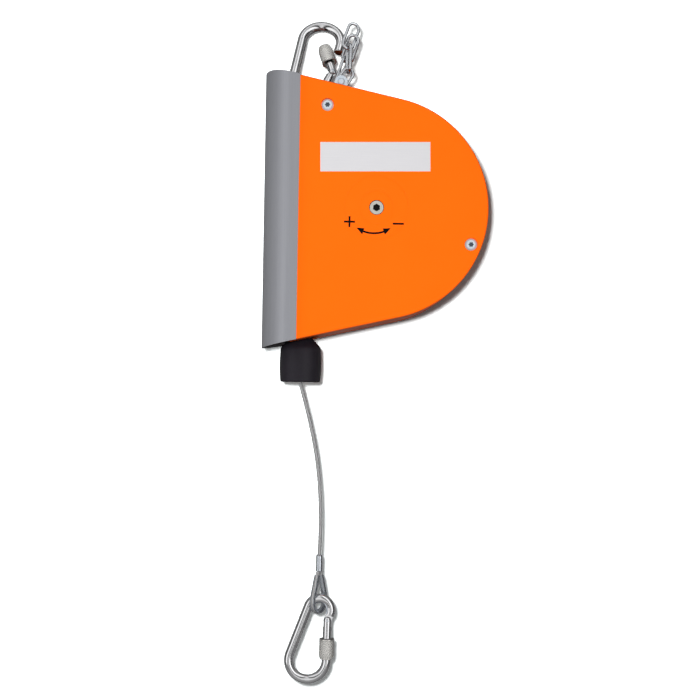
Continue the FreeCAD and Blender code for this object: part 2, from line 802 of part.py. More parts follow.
def ratchet():
    """A toothed wheel on the shaft and the pawl that holds it."""
    owner = body("ratchet")
    pad(owner, disc(sketch(owner, "XY_Plane"), "0", "0", "dim.ratchet_radius"), "dim.ratchet_thickness")
    teeth = int(value("dim.ratchet_teeth"))
    tip, depth = value("dim.ratchet_radius"), value("dim.ratchet_tooth")
    step = 2 * math.pi / teeth
    root = V(0, tip - depth, 0)
    shoulder = V(0, tip + 1, 0)
    slope = step * value("dim.ratchet_slope")
    back = V((tip + 1) * math.sin(slope), (tip + 1) * math.cos(slope), 0)
    notch = sketch(owner, "XY_Plane")
    corners = [root, shoulder, back]
    drawn(notch, [Part.LineSegment(corners[i], corners[(i + 1) % 3]) for i in range(3)])
    gap = pocket(owner, notch, "dim.ratchet_thickness", ahead=True)
    doc.recompute()
    pattern = owner.newObject("PartDesign::PolarPattern", "ratchet_teeth")
    pattern.Originals = [gap]
    pattern.Axis = (next(f for f in owner.Origin.OriginFeatures if f.Role == "Z_Axis"), [""])
    pattern.Angle = 360
    pattern.setExpression("Occurrences", "dim.ratchet_teeth")
    owner.Tip = pattern
    bore = disc(sketch(owner, "XY_Plane"), "0", "0", "dim.journal_radius")
    pocket(owner, bore, "dim.ratchet_thickness", ahead=True)
    piece(owner, "ratchet_wheel", y="-dim.ratchet_front + dim.pawl_gap", turn=TO_BACK)

    pawl = body("pawl")
    pad(pawl, disc(sketch(pawl), "0", "0", "dim.pawl_boss_radius"), "dim.pawl_thickness")
    tip_right = "dim.pawl_left - dim.pawl_gap"
    tip_low = "dim.ratchet_radius - dim.ratchet_tooth - dim.pawl_up + 2 * dim.pawl_gap"
    corners = [
        (tip_right, tip_low),
        (tip_right, f"{tip_low} + dim.pawl_tip_height"),
        ("dim.pawl_arm", "dim.pawl_arm"),
        ("-dim.pawl_arm", "-dim.pawl_arm"),
        (f"{tip_right} - dim.pawl_tip_back", f"{tip_low} + dim.pawl_tip_rise"),
    ]
    pad(pawl, polygon(sketch(pawl), corners), "dim.pawl_thickness")
    bore = disc(sketch(pawl), "0", "0", "dim.pawl_pin_radius + dim.running_gap")
    pocket(pawl, bore, "dim.pawl_thickness", ahead=True)
    front = "dim.half_depth - dim.wall"
    y = "dim.pawl_thickness - dim.ratchet_front + dim.pawl_gap"
    piece(pawl, "lock_pawl", PAWL[0], y, PAWL[1])
    pin = cylinder("pawl_axle", "dim.pawl_pin_radius", f"{front} - dim.drum_half_width - 2")
    piece(pin, "pawl_pin", PAWL[0], f"-({front})", PAWL[1], TO_BACK)


# ---------------------------------------------------------------- guide, buffer and rope


def rope_guide():
    span = "2 * (dim.half_depth - dim.wall)"
    block = box("guide_block", "2 * dim.guide_half_width", span, "dim.guide_height")
    local(block, "-dim.guide_half_width", "-dim.half_depth + dim.wall")
    bore = cylinder("guide_seat", "dim.guide_bush_radius", "3 * dim.guide_height")
    local(bore, z="-dim.guide_height")
    piece(cut("guide", block, bore), "rope_guide", "-dim.rope_line", "0", "-dim.guide_bottom")
    bush = turned(
        "bush",
        [
            ("dim.guide_bore + dim.guide_lip", "0"),
            ("dim.guide_bush_radius", "0"),
            ("dim.guide_bush_radius", "dim.guide_height"),
            ("dim.guide_bore + dim.guide_lip", "dim.guide_height"),
            ("dim.guide_bore", "dim.guide_height - dim.guide_lip"),
            ("dim.guide_bore", "dim.guide_lip"),
        ],
    )
    piece(bush, "guide_bush", "-dim.rope_line", "0", "-dim.guide_bottom")


def stop_buffer():
    top = "dim.buffer_bottom - dim.guide_bottom - dim.buffer_seat_gap"
    buffer = turned(
        "buffer",
        [
            ("dim.stop_sleeve_radius", "0"),
            ("dim.buffer_radius - dim.buffer_chamfer", "0"),
            ("dim.buffer_radius", "dim.buffer_chamfer"),
            ("dim.buffer_bulge", "0.5 * dim.buffer_body"),
            ("dim.buffer_radius", "dim.buffer_body"),
            ("dim.buffer_neck_radius", "dim.buffer_body + dim.buffer_cone"),
            ("dim.buffer_neck_radius", top),
            ("dim.stop_sleeve_radius", top),
        ],
    )
    piece(buffer, "stop_buffer", "-dim.rope_line", "0", "-dim.buffer_bottom")
    sleeve = cylinder("stop_core", "dim.stop_sleeve_radius", top)
    piece(sleeve, "stop_sleeve", "-dim.rope_line", "0", "-dim.buffer_bottom")
    run = cylinder("run", "dim.rope_radius", "dim.guide_bottom + dim.buffer_seat_gap")
    piece(run, "inner_rope_run", "-dim.rope_line", "0", "-dim.guide_bottom - dim.buffer_seat_gap")


# The free rope's route in the housing's plane y = 0, from the buffer to the ferrule: right of the
# rope's line and up from the buffer's bottom.
ROPE_ROUTE = (
    (0.1, -0.5),
    (4.0, -14.5),
    (8.8, -33.0),
    (13.0, -52.5),
    (15.8, -72.5),
    (17.4, -94.5),
    (17.7, -115.5),
    (17.0, -132.9),
)
BEND_SHARE = 0.45


def route_edges(points, share):
    """Straight runs joined by tangent arcs, each as large as its two runs allow."""
    edges, start = [], points[0]
    for before, corner, after in zip(points, points[1:], points[2:]):
        come, leave = corner - before, after - corner
        turn = come.getAngle(leave)
        room = share * min(come.Length, leave.Length)
        first = corner - come.normalize() * room
        second = corner + leave.normalize() * room
        centre_way = (first + second - corner * 2).normalize()
        radius = room / math.tan(turn / 2)
        middle = corner + centre_way * (math.hypot(room, radius) - radius)
        print(f"bend radius {radius:.0f}")
        edges.append(Part.LineSegment(start, first).toShape())
        edges.append(Part.Arc(first, middle, second).toShape())
        start = second
    edges.append(Part.LineSegment(start, points[-1]).toShape())
    return edges


def free_rope():
    radius = value("dim.rope_radius")
    exit_point = V(-value("dim.rope_line"), 0, -value("dim.buffer_bottom"))
    points = [exit_point + V(x, 0, z) for x, z in ROPE_ROUTE]
    path = Part.Wire(route_edges(points, BEND_SHARE))
    section = Part.Wire(Part.makeCircle(radius, points[0], points[1] - points[0]))
    tube = path.makePipeShell([section], True, False)
    thing = doc.addObject("Part::Feature", "rope_tube")
    thing.Shape = tube
    plain = math.pi * radius**2 * path.Length
    print(f"free rope {path.Length:.1f} long, volume off by {tube.Volume / plain - 1:.4f}")
    piece(thing, "free_rope")


class EyePath:
    """The rope's way round the thimble, in its own plane: down one straight leg, round the bottom and
    up the other leg. The legs come together below the ferrule."""

    def __init__(self, radius, top, half_gap):
        far = math.hypot(half_gap, top)
        self.radius = radius
        self.angle = math.atan2(top, half_gap) - math.acos(radius / far)
        self.touch = V(math.cos(self.angle), math.sin(self.angle), 0) * radius
        self.slope = (V(half_gap, top, 0) - self.touch).normalize()

    def edges(self, across, radius=None):
        """The path from where its legs are this far from the middle; another radius runs beside it."""
        radius = radius or self.radius
        touch = V(math.cos(self.angle), math.sin(self.angle), 0) * radius
        start = touch + self.slope * ((across - touch.x) / self.slope.x)
        circle = Part.Circle(V(), V(0, 0, 1), radius)
        return [
            Part.makeLine(start, touch),
            Part.ArcOfCircle(circle, math.pi - self.angle, 2 * math.pi + self.angle).toShape(),
            Part.makeLine(V(-touch.x, touch.y, 0), V(-start.x, start.y, 0)),
        ]

    def tube(self, across, thickness):
        path = Part.Wire(Part.__sortEdges__(self.edges(across)))
        lead = path.OrderedEdges[0]
        start = lead.valueAt(lead.FirstParameter)
        ring = Part.Wire(Part.makeCircle(thickness, start, lead.tangentAt(lead.FirstParameter)))
        return path.makePipeShell([ring], True, False)

    def plate(self, radius, half):
        """A flat drop shape of the given size round the bottom, pointed at the top."""
        face = Part.Face(Part.Wire(Part.__sortEdges__(self.edges(0, radius))))
        drop = face.extrude(V(0, 0, 2 * half))
        drop.translate(V(0, 0, -half))
        return drop


def rope_end():
    """The ferrule, the rope laid round the thimble, and the thimble, a channel round that rope."""
    length, chamfer, radius = "dim.ferrule_length", "dim.ferrule_chamfer", "dim.ferrule_radius"
    ferrule = turned(
        "ferrule",
        [
            ("0", "0"),
            (f"{radius} - {chamfer}", "0"),
            (radius, chamfer),
            (radius, f"{length} - {chamfer}"),
            (f"{radius} - {chamfer}", length),
            ("0", length),
        ],
    )
    piece(ferrule, "rope_ferrule", "-dim.rope_end_left", "0", f"-dim.ferrule_top - {length}")

    rope, wall = value("dim.rope_radius"), value("dim.thimble_band")
    bottom = value("dim.thimble_inner") + wall + rope
    top = value("dim.thimble_drop - dim.ferrule_top - dim.ferrule_length - dim.eye_gap")
    path = EyePath(bottom, top, rope)
    eye = doc.addObject("Part::Feature", "eye_rope")
    eye.Shape = path.tube(rope, rope)
    channel = path.tube(rope + wall + value("dim.groove_gap"), rope + wall)
    groove = path.tube(rope, rope + value("dim.groove_gap"))
    outline = path.plate(bottom + value("dim.thimble_flange"), 2 * (rope + wall))
    thimble = doc.addObject("Part::Feature", "thimble_channel")
    thimble.Shape = channel.common(outline).cut(groove)
    upright = FreeCAD.Rotation(V(0, 0, 1), value("dim.thimble_turn")).multiply(TO_FRONT)
    for thing, label in ((eye, "rope_eye"), (thimble, "thimble")):
        piece(thing, label, "-dim.rope_end_left", "0", "-dim.thimble_drop", upright)


# ---------------------------------------------------------------- snap hooks


class Hook:
    """A snap hook in its own plane: the gate hinge at the origin, the crown above, the gate on the
    right and the narrow end below. Prefix names its sizes on the sheet."""

    def __init__(self, prefix, name):
        self.prefix, self.name = prefix, name

    def size(self, word):
        return f"dim.{self.prefix}_{word}"

    def number(self, word):
        return value(self.size(word))

    def cone(self):
        """The height of the cone at the nose, with sides at 45 degrees."""
        return self.number("wire") - self.number("nose_tip")

    def path(self):
        crown, narrow = self.number("crown"), self.number("narrow")
        top = V(-crown, self.number("crown_up"), 0)
        low = V(-self.number("narrow_left"), -self.number("narrow_down"), 0)
        away = top - low
        left = math.atan2(away.y, away.x) + math.acos((narrow - crown) / away.Length)
        spine = V(math.cos(left), math.sin(left), 0)
        hinge_way = -low
        right = math.atan2(hinge_way.y, hinge_way.x) - math.acos(narrow / hinge_way.Length)
        last = low + V(math.cos(right), math.sin(right), 0) * narrow
        end = V(last).normalize() * value("dim.wire_end_gap")
        normal = V(0, 0, 1)
        return end, (
            Part.LineSegment(V(0, self.number("nose_up") + self.cone(), 0), V(0, top.y, 0)),
            Part.ArcOfCircle(Part.Circle(top, normal, crown), 0, left),
            Part.LineSegment(top + spine * crown, low + spine * narrow),
            Part.ArcOfCircle(Part.Circle(low, normal, narrow), left, 2 * math.pi + right),
            Part.LineSegment(last, end),
        )

    def wire_body(self):
        owner = body(f"{self.name}_wire")
        end, shapes = self.path()
        route = drawn(sketch(owner), shapes)
        wire, tip, nose = (self.size(word) for word in ("wire", "nose_tip", "nose_up"))
        section = disc(sketch(owner, "XY_Plane", f"{nose} + {wire} - {tip}"), "0", "0", wire)
        pipe = owner.newObject("PartDesign::AdditivePipe", f"{self.name}_pipe")
        pipe.Profile = section
        pipe.Spine = (route, [f"Edge{i + 1}" for i in range(len(shapes))])
        doc.recompute()
        base = f"{nose} + {wire} - {tip}"
        cone = [("0", nose), (tip, nose), (wire, base), ("0", base)]
        point = owner.newObject("PartDesign::Revolution", f"{self.name}_point")
        point.Profile = polygon(sketch(owner), cone)
        point.ReferenceAxis = (point.Profile[0], ["V_Axis"])
        point.Angle = 360
        pad(owner, disc(sketch(owner), "0", "0", "dim.tongue_radius"), "2 * dim.tongue_half", both=True)
        way = V(end).normalize()
        across = V(-way.y, way.x, 0) * value("dim.tongue_radius")
        deep = end + way * value("dim.wire_end_gap")
        waist = across * value("dim.tongue_waist")
        corners = [across, deep + waist, deep - waist, -across]
        neck = drawn(sketch(owner), [Part.LineSegment(corners[i], corners[(i + 1) % 4]) for i in range(4)])
        pad(owner, neck, "2 * dim.tongue_half", both=True)
        bore = disc(sketch(owner), "0", "0", "dim.hinge_pin_radius")
        pocket(owner, bore, "4 * dim.gate_radius", both=True)
        return owner

    def gate(self):
        length = f"{self.size('nose_up')} - dim.gate_short"
        rod = cylinder(f"{self.name}_rod", "dim.gate_radius", length)
        knuckle = primitive("Sphere", f"{self.name}_knuckle", Radius="dim.gate_radius")
        wide = "4 * dim.gate_radius"
        slot = box(f"{self.name}_slot", wide, "2 * dim.gate_slot", "2 * dim.wire_end_gap + 2")
        local(slot, "-2 * dim.gate_radius", "-dim.gate_slot", "-dim.wire_end_gap - 1")
        bore = cylinder(f"{self.name}_bore", "dim.hinge_pin_radius + dim.running_gap", wide)
        local(bore, y="-2 * dim.gate_radius", turn=TO_BACK)
        return cut(f"{self.name}_gate", fuse(f"{self.name}_gate_blank", rod, knuckle), slot, bore)

    def pin(self):
        length = "2 * dim.hinge_pin_reach * dim.gate_radius"
        return cylinder(f"{self.name}_pin", "dim.hinge_pin_radius", length)


def frame_placement(rotation, fixed_local, fixed_frame):
    """The placement that turns a shape and brings one of its points to a place in the frame."""
    return FreeCAD.Placement(fixed_frame - rotation.multVec(fixed_local), rotation)


def hook_pieces(hook, word, whole, open_angle, sleeve, sleeve_up):
    """Place a hook's wire, pin, gate and sleeve; whole places the hook's own plane in the frame."""
    piece_at(hook.wire_body(), f"{word}_hook", whole)
    half_pin = value("dim.hinge_pin_reach * dim.gate_radius")
    to_pin = FreeCAD.Placement(V(0, -half_pin, 0), TO_BACK)
    piece_at(hook.pin(), f"{word}_gate_pin", whole.multiply(to_pin))
    opened = FreeCAD.Placement(V(), FreeCAD.Rotation(V(0, 1, 0), -open_angle))
    piece_at(hook.gate(), f"{word}_gate", whole.multiply(opened))
    raised = FreeCAD.Placement(V(0, 0, value(sleeve_up)), FreeCAD.Rotation())
    piece_at(sleeve, f"{word}_lock_sleeve", whole.multiply(opened).multiply(raised))


def upper_hook():
    whole = frame_placement(hook_rotation(), suspension_point(), V())
    length, deep = "dim.sleeve_length", "dim.sleeve_hollow_depth"
    sleeve = turned(
        "upper_sleeve",
        [
            ("dim.sleeve_hollow", "0"),
            ("dim.sleeve_radius", "0"),
            ("dim.sleeve_radius", f"{length} - dim.sleeve_taper"),
            ("dim.sleeve_mouth_radius", length),
            ("dim.sleeve_bore", length),
            ("dim.sleeve_bore", deep),
            ("dim.sleeve_hollow", deep),
        ],
    )
    hook_pieces(Hook("hook", "upper"), "upper", whole, value("dim.hook_gate_open"), sleeve, "dim.sleeve_up")


def lower_hook():
    rotation = FreeCAD.Rotation(V(0, 1, 0), value("dim.tool_lean")).multiply(UPSIDE_DOWN)
    seat = value("dim.thimble_drop + dim.thimble_inner - dim.tool_wire - dim.tool_seat_gap")
    drop = seat + value("dim.tool_narrow + dim.tool_narrow_down")
    hinge = AXIS + V(-value("dim.tool_left"), 0, -drop)
    whole = frame_placement(rotation, V(), hinge)
    length, mouth = "dim.sleeve_length", "dim.tool_mouth_depth"
    sleeve = turned(
        "lower_sleeve",
        [
            ("dim.sleeve_hollow", "0"),
            ("dim.sleeve_radius", "0"),
            ("dim.sleeve_radius", f"{length} - dim.tool_taper"),
            ("dim.tool_mouth_radius", length),
            ("dim.tool_mouth_bore", length),
            ("dim.sleeve_bore", f"{length} - {mouth}"),
            ("dim.sleeve_bore", "dim.sleeve_hollow_depth"),
            ("dim.sleeve_hollow", "dim.sleeve_hollow_depth"),
        ],
    )
    hook_pieces(Hook("tool", "lower"), "lower", whole, 0, sleeve, "dim.tool_sleeve_up")


# ---------------------------------------------------------------- safety chain


def chain_lug():
    """A plate clamped by the upper cover screw, with the chain's screw at its top."""
    lug = ("-dim.lug_left + dim.upper_screw_left", "dim.lug_up - dim.upper_screw_up")
    across, up = value(lug[0]), value(lug[1])
    foot = cylinder("lug_foot", "dim.lug_foot_radius", "dim.lug_thickness")
    eye = local(cylinder("lug_eye", "dim.lug_radius", "dim.lug_thickness"), lug[0], f"-({lug[1]})")
    strip = box("lug_strip", str(math.hypot(across, up)), "2 * dim.lug_radius", "dim.lug_thickness")
    heading = FreeCAD.Rotation(V(0, 0, 1), math.degrees(math.atan2(-up, across)))
    side = heading.multVec(V(0, -value("dim.lug_radius"), 0))
    strip.Placement = FreeCAD.Placement(side, heading)
    holes = []
    spots = (
        ("post", "0", "0", "dim.screw_radius + dim.screw_clearance"),
        ("pin", lug[0], f"-({lug[1]})", "dim.chain_screw_radius"),
    )
    for name, x, y, radius in spots:
        hole = cylinder(f"lug_{name}_hole", radius, "3 * dim.lug_thickness")
        holes.append(local(hole, x, y, "-dim.lug_thickness"))
    plate = cut("lug", fuse("lug_blank", foot, eye, strip), *holes)
    piece(plate, "chain_lug", UPPER_SCREW[0], "-dim.lug_front", UPPER_SCREW[1], TO_BACK)


def chain_screw():
    x, z = "-dim.lug_left", "dim.lug_up"
    front = "dim.lug_front + dim.chain_bush_length"
    bush = ring("chain_spacer", "dim.chain_screw_radius", "dim.chain_bush_radius", "dim.chain_bush_length")
    piece(bush, "chain_bush", x, f"-({front})", z, TO_BACK)
    washer = ring("chain_disc", "dim.chain_screw_radius", "dim.washer_radius", "dim.washer_thickness")
    piece(washer, "chain_washer", x, f"-({front} + dim.washer_thickness)", z, TO_BACK)
    shank = "dim.washer_thickness + dim.chain_bush_length + dim.lug_thickness + dim.nut_height"
    head = "dim.chain_head_height"
    screw = turned(
        "chain_bolt",
        [
            ("0", "0"),
            ("0.7 * dim.chain_head_radius", "0"),
            ("dim.chain_head_radius", f"0.5 * {head}"),
            ("dim.chain_head_radius", head),
            ("dim.chain_screw_radius", head),
            ("dim.chain_screw_radius", f"{head} + {shank}"),
            ("0", f"{head} + {shank}"),
        ],
    )
    piece(screw, "chain_screw", x, f"-({front} + dim.washer_thickness + {head})", z, TO_BACK)
    nut = doc.addObject("Part::Prism", "chain_nut_blank")
    nut.Polygon = 6
    nut.setExpression("Circumradius", "dim.nut_radius")
    nut.setExpression("Height", "dim.nut_height")
    bore = cylinder("nut_bore", "dim.chain_screw_radius", "3 * dim.nut_height")
    local(bore, z="-dim.nut_height")
    piece(cut("nut", nut, bore), "chain_nut", x, f"-({LUG_BACK})", z, TO_BACK)


def link(name):
    """A chain link about its own centre, long along z, its plane the xz plane."""
    bend = "(dim.link_width / 2 - dim.link_wire)"
    half = "(dim.link_length / 2 - dim.link_width / 2)"
    parts = []
    for side, spin in ((1, 0), (-1, 180)):
        arc = primitive("Torus", f"{name}_bend", Radius1=bend, Radius2="dim.link_wire", Angle3="180")
        turn = FreeCAD.Rotation(V(0, 1, 0), spin).multiply(TO_FRONT)
        parts.append(local(arc, z=f"{side} * {half}", turn=turn))
        leg = cylinder(f"{name}_leg", "dim.link_wire", f"2 * {half}")
        parts.append(local(leg, f"{side} * {bend}", "0", f"-{half}"))
    return fuse(name, *parts)


# Each link of the chain from the screw to the free end: its centre from the screw's place in the
# joint plane, then its turn about its own length, its lean to the right and its tilt to the back, in
# degrees.
CHAIN = (
    ((1.16, -10.6, 1.04), 0, 33, 0),
    ((5.52, -10.95, 18.46), 108.12, 1.13, 0.52),
    ((6.84, -9.01, 36.31), 22.16, 17.97, 12.48),
    ((6.68, -5.84, 27.26), 163.53, 16.96, -26.18),
    ((0.45, -0.94, 11.35), 62.04, 16.78, -9.71),
)


def chain():
    screw = AXIS + V(-value("dim.lug_left"), 0, value("dim.lug_up"))
    for number, (centre, spin, lean, tilt) in enumerate(CHAIN, 1):
        turn = FreeCAD.Rotation(V(1, 0, 0), -tilt)
        turn = turn.multiply(FreeCAD.Rotation(V(0, 1, 0), lean))
        turn = turn.multiply(FreeCAD.Rotation(V(0, 0, 1), spin))
        placement = FreeCAD.Placement(screw + V(*centre), turn)
        piece_at(link(f"link_{number}"), f"chain_link_{number}", placement)


# ---------------------------------------------------------------- label and marks


def label_plate():
    plate = box("plate", "dim.label_width", "dim.label_thickness", "dim.label_height")
    turn = FreeCAD.Rotation(V(0, 1, 0), -value("dim.label_turn"))
    back = turn.multVec(V(value("dim.label_width") / 2, 0, value("dim.label_height") / 2))
    x, z = f"-dim.label_left - {back.x}", f"dim.label_up - {back.z}"
    piece(plate, "label_plate", x, "-dim.half_depth - dim.label_thickness", z, turn)


def tension_marks():
    """A plus, a minus and a double-headed curved arrow, printed below the hub."""
    stroke, length = value("dim.mark_stroke"), value("dim.mark_length")
    plus = V(-value("dim.plus_left"), -value("dim.plus_down"), 0)
    minus = V(value("dim.minus_right"), -value("dim.minus_down"), 0)

    def bar(centre, width, height):
        return Part.makePlane(width, height, centre - V(width / 2, height / 2, 0))

    radius, span = value("dim.arrow_radius"), math.radians(value("dim.arrow_half_angle"))
    middle = V(-value("dim.arrow_left"), radius - value("dim.arrow_down"), 0)

    def on_arc(angle, reach):
        return middle + V(math.sin(angle), -math.cos(angle), 0) * reach

    head = value("dim.arrow_head")
    inner, outer = radius - stroke / 2, radius + stroke / 2
    neck = span - value("dim.arrow_neck") * head / radius
    edges = [
        Part.Arc(on_arc(-neck, inner), on_arc(0, inner), on_arc(neck, inner)).toShape(),
        Part.makeLine(on_arc(neck, inner), on_arc(neck, outer)),
        Part.Arc(on_arc(neck, outer), on_arc(0, outer), on_arc(-neck, outer)).toShape(),
        Part.makeLine(on_arc(-neck, outer), on_arc(-neck, inner)),
    ]
    faces = [Part.Face(Part.Wire(edges))]
    half = value("dim.arrow_head_half")
    for side in (1, -1):
        base = side * (span - head / radius)
        corners = [on_arc(side * span, radius), on_arc(base, radius - half), on_arc(base, radius + half)]
        faces.append(Part.Face(Part.makePolygon(corners + corners[:1])))
    thick = V(0, 0, value("dim.mark_thickness"))
    cross = bar(plus, length, stroke).extrude(thick).fuse(bar(plus, stroke, length).extrude(thick))
    arrow = faces[0].extrude(thick).fuse([face.extrude(thick) for face in faces[1:]])
    marks = [cross.removeSplitter(), bar(minus, length, stroke).extrude(thick), arrow.removeSplitter()]
    thing = doc.addObject("Part::Feature", "marks")
    thing.Shape = Part.makeCompound([solid for mark in marks for solid in mark.Solids])
    piece(thing, "tension_marks", "0", "-dim.half_depth", "0", TO_FRONT)


front_cover()
rear_cover()
edge_profile()
cover_screws()
suspension()
rope_drum()
wound_rope()
mainspring()
tension_shaft()
ratchet()
rope_guide()
stop_buffer()
free_rope()
rope_end()
upper_hook()
lower_hook()
chain_lug()
chain_screw()
chain()
label_plate()
tension_marks()
doc.recompute()

# ---------------------------------------------------------------- checks and files

for thing in doc.Objects:
    if "Invalid" in thing.State or "Error" in thing.State:
        raise RuntimeError(f"{thing.Label} failed: {thing.State}")
for thing in pieces:
    if thing.Shape.isNull() or not thing.Shape.isValid() or not thing.Shape.Solids:
        raise RuntimeError(f"{thing.Label} has no valid solid")

os.makedirs("parts", exist_ok=True)
for thing in pieces:
    thing.Shape.exportStep(f"parts/{thing.Label}.step")
print(f"{len(pieces)} pieces written")
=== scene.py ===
# %% [markdown]
# # A spring balancer for hand tools
#
# The balancer hangs from a snap hook. Its D-shaped housing holds a rope drum and a flat spring, and
# the rope leaves at the bottom through a rubber stop buffer and ends in a second hook. The solids
# come ready made from the frame, so this lesson gives every surface its finish and adds the pieces
# whose look is finer than a solid can show: the laid wire rope, the knurled sleeves and the moulded
# buffer.

import math

import bmesh
import bpy
from mathutils import Matrix, Vector


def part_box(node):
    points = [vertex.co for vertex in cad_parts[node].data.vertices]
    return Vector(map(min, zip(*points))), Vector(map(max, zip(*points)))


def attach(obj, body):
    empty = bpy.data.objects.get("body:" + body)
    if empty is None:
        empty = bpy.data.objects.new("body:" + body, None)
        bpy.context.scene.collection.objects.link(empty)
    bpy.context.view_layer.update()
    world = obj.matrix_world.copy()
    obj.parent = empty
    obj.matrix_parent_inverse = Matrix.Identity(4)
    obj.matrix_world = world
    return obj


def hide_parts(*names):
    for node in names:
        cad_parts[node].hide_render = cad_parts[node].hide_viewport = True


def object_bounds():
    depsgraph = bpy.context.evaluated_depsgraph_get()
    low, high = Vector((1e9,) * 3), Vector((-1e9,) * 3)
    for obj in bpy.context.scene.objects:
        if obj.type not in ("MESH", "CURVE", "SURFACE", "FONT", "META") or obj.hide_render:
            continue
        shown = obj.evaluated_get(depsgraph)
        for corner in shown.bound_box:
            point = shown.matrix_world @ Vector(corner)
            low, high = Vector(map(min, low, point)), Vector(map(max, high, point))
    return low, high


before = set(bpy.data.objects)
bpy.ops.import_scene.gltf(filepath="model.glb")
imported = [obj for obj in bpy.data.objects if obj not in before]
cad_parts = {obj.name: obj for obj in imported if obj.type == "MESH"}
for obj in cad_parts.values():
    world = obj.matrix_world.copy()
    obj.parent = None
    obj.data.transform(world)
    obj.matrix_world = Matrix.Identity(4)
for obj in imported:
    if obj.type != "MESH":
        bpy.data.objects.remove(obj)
solid_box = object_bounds()

# %% [markdown]
# ## Where things are
#
# Pieces are placed from the frame, so they stay right if the solids change. The drum's axis is the
# middle of the tension shaft, and most places are known from there: x to the right, y to the back
# and z up.

# %% Places taken from the solids
MM = 0.001


def middle(node):
    """The middle of a node's box, in metres."""
    low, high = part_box(node)
    return (Vector(low) + Vector(high)) / 2


shaft = middle("tension_shaft")
joint_y = middle("suspension_bolt").y
axis = Vector((shaft.x, joint_y, shaft.z))


def housing(x, y, z):
    """A point given in millimetres from the drum's axis, in the frame's metres."""
    return axis + Vector((x, y, z)) * MM


print("drum axis at", [round(c, 4) for c in axis])

# %% [markdown]
# ## A small language for materials
#
# Blender's materials are graphs of nodes. Wiring many Math nodes by hand hides the idea behind them,
# so a small class wraps a socket and turns Python's own operators into nodes. Every other node comes
# from one method that takes its type, its settings and the values or links of its inputs.


# %% The socket class and the material maker
class Wire:
    """A socket that can be added, multiplied and so on; each operation makes a Math node."""

    def __init__(self, maker, socket):
        self.maker, self.socket = maker, socket

    def math(self, operation, *others):
        values = dict(enumerate((self, *others)))
        return self.maker.node("Math", {"operation": operation}, values)

    def __add__(self, other):
        return self.math("ADD", other)

    def __mul__(self, other):
        return self.math("MULTIPLY", other)

    __radd__ = __add__
    __rmul__ = __mul__

    def sine(self):
        return self.math("SINE")

    def clamp(self):
        return self.maker.node("Clamp", {}, {"Value": self})


class Maker:
    """Adds nodes to a tree; every node comes from its one method."""

    def __init__(self, tree):
        self.tree = tree

    def node(self, kind, settings, values, output=0):
        node = self.tree.nodes.new(f"ShaderNode{kind}")
        for name, setting in settings.items():
            setattr(node, name, setting)
        for name, value in values.items():
            if isinstance(value, Wire):
                self.tree.links.new(value.socket, node.inputs[name])
            else:
                node.inputs[name].default_value = value
        return Wire(self, node.outputs[output])

    def split(self, vector):
        """The three parts of a vector."""
        return [self.node("SeparateXYZ", {}, {0: vector}, part) for part in range(3)]

    def smooth(self, value, low, high, first=0.0, second=1.0):
        """Goes smoothly from the first number to the second as the value goes from low to high."""
        settings = {"interpolation_type": "SMOOTHSTEP"}
        return self.node("MapRange", settings, {0: value, 1: low, 2: high, 3: first, 4: second})

    def mixed(self, factor, first, second):
        """A number between two others."""
        return self.node("Mix", {}, {0: factor, 2: first, 3: second})


class Finish(Maker):
    """A material under construction, with the shader's own constants set on its sockets."""

    def __init__(self, name, **constants):
        self.material = bpy.data.materials.new(name)
        self.material.use_nodes = True
        super().__init__(self.material.node_tree)
        self.shader = self.tree.nodes["Principled BSDF"]
        for socket, value in constants.items():
            self.shader.inputs[socket.replace("_", " ")].default_value = value

    def place(self, scale=(1, 1, 1), source="Object"):
        """Object coordinates in metres, or the piece's own UV map, stretched by a scale."""
        where = self.node("TexCoord", {}, {}, source)
        return self.node("Mapping", {}, {"Vector": where, "Scale": scale})

    def noise(self, where, scale, detail=3.0):
        values = {"Vector": where, "Scale": scale, "Detail": detail, "Roughness": 0.55}
        return self.node("TexNoise", {}, values, "Fac")

    def blend(self, factor, first, second):
        """A colour between two others."""
        values = {0: factor, 6: first, 7: second}
        return self.node("Mix", {"data_type": "RGBA"}, values, 2)

    def feed(self, **links):
        for name, wire in links.items():
            self.tree.links.new(wire.socket, self.shader.inputs[name.replace("_", " ")])

    def bump(self, height, distance, strength=1.0):
        values = {"Height": height, "Distance": distance, "Strength": strength}
        self.feed(Normal=self.node("Bump", {}, values))


def rgb(red, green, blue):
    """A colour on the usual scale of 0 to 255, as the linear numbers that a shader needs."""
    def linear(part):
        part /= 255
        return part / 12.92 if part <= 0.04045 else ((part + 0.055) / 1.055) ** 2.4

    return (linear(red), linear(green), linear(blue), 1.0)


print("material helpers ready")

# %% [markdown]
# ## The orange covers
#
# The covers are die cast and powder coated. A powder coat is glossy but never flat: it has a fine
# orange peel of about a millimetre, its colour drifts a little over the surface, and handling leaves
# faint duller patches.

# %% Powder coat
ORANGE = rgb(253, 104, 12)
ORANGE_DEEP = rgb(246, 97, 8)

coat = Finish("orange_powder_coat", IOR=1.47, Specular_IOR_Level=0.25)
everywhere = coat.place()
peel = coat.noise(everywhere, 900, 4)
cloud = coat.noise(everywhere, 14, 3)
touch = coat.noise(everywhere, 60, 5)
coat.feed(Base_Color=coat.blend(cloud, ORANGE_DEEP, ORANGE), Roughness=0.36 + touch * 0.12)
coat.bump(peel, 0.00004, 0.55)
print("made", coat.material.name)

# %% [markdown]
# ## The grey edge profile
#
# The profile is drawn aluminium with a satin grey finish. Drawing leaves fine lines along its
# length, so the noise is stretched a few hundred times along z.

